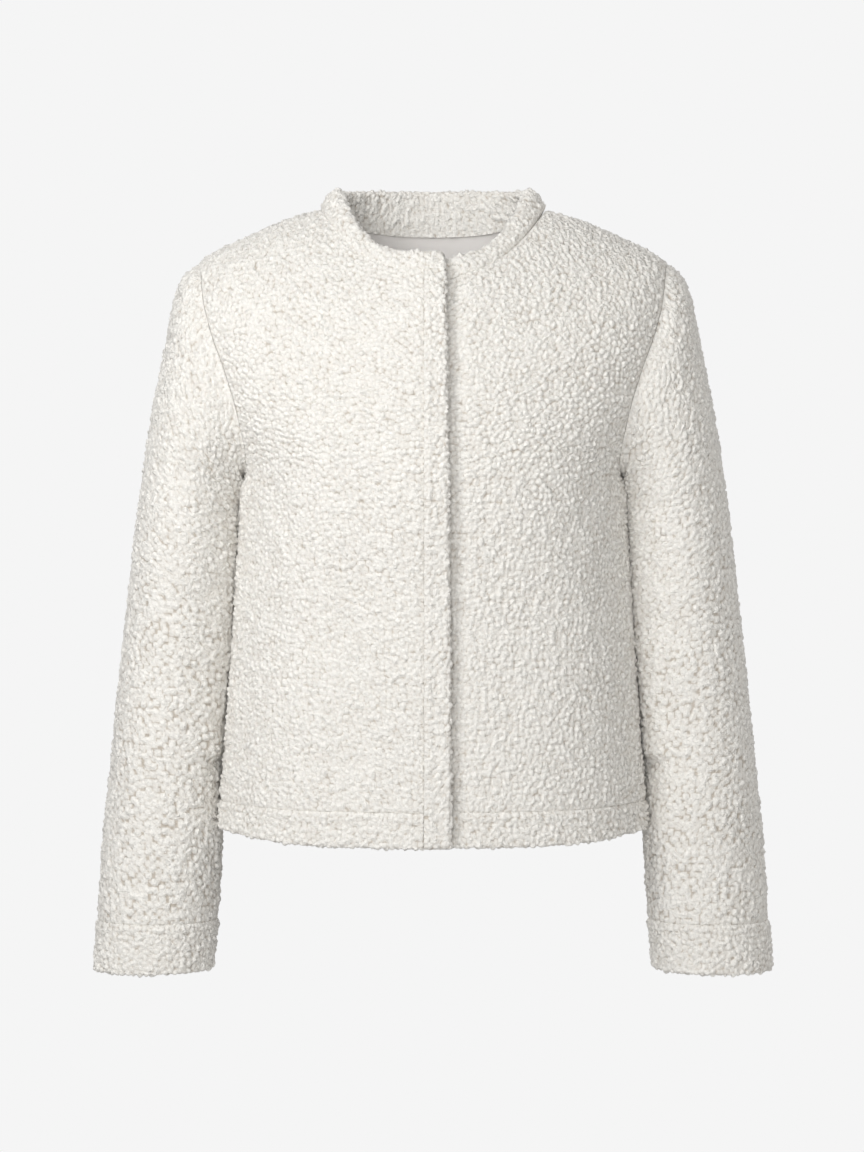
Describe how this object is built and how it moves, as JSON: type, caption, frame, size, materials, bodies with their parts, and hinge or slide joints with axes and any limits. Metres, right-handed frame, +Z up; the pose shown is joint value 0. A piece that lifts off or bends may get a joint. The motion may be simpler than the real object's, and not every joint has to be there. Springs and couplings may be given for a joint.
{
  "type": "cropped boucle jacket",
  "caption": "Cropped collarless boucle jacket, worn form and hollow, with a neckband, a lapped front with a placket, set-in sleeves, and hem and cuff bands",
  "frame": {"origin": "the middle of the neck opening, at the height of the neck ends of the shoulder seams, where the wearer's shoulders carry the jacket", "axes": "+Z up, the fronts face -Y, the wearer's right side is at -X"},
  "size_m": [0.551, 0.2434, 0.6415],
  "materials": {
    "boucle": "ivory wool boucle with close, round, curled nubs about 5 mm across, matt with a soft nap",
    "lining": "smooth pale beige lining with a faint sheen"
  },
  "bodies": {
    "root": {"back": "boucle", "front_right": "boucle", "front_left": "boucle", "placket": "boucle", "neckband": "boucle", "hem_back": "boucle", "hem_front_right": "boucle", "hem_front_left": "boucle", "sleeve_right": "boucle", "sleeve_left": "boucle", "cuff_right": "boucle", "cuff_left": "boucle", "lining_back": "lining"}
  },
  "joints": []
}
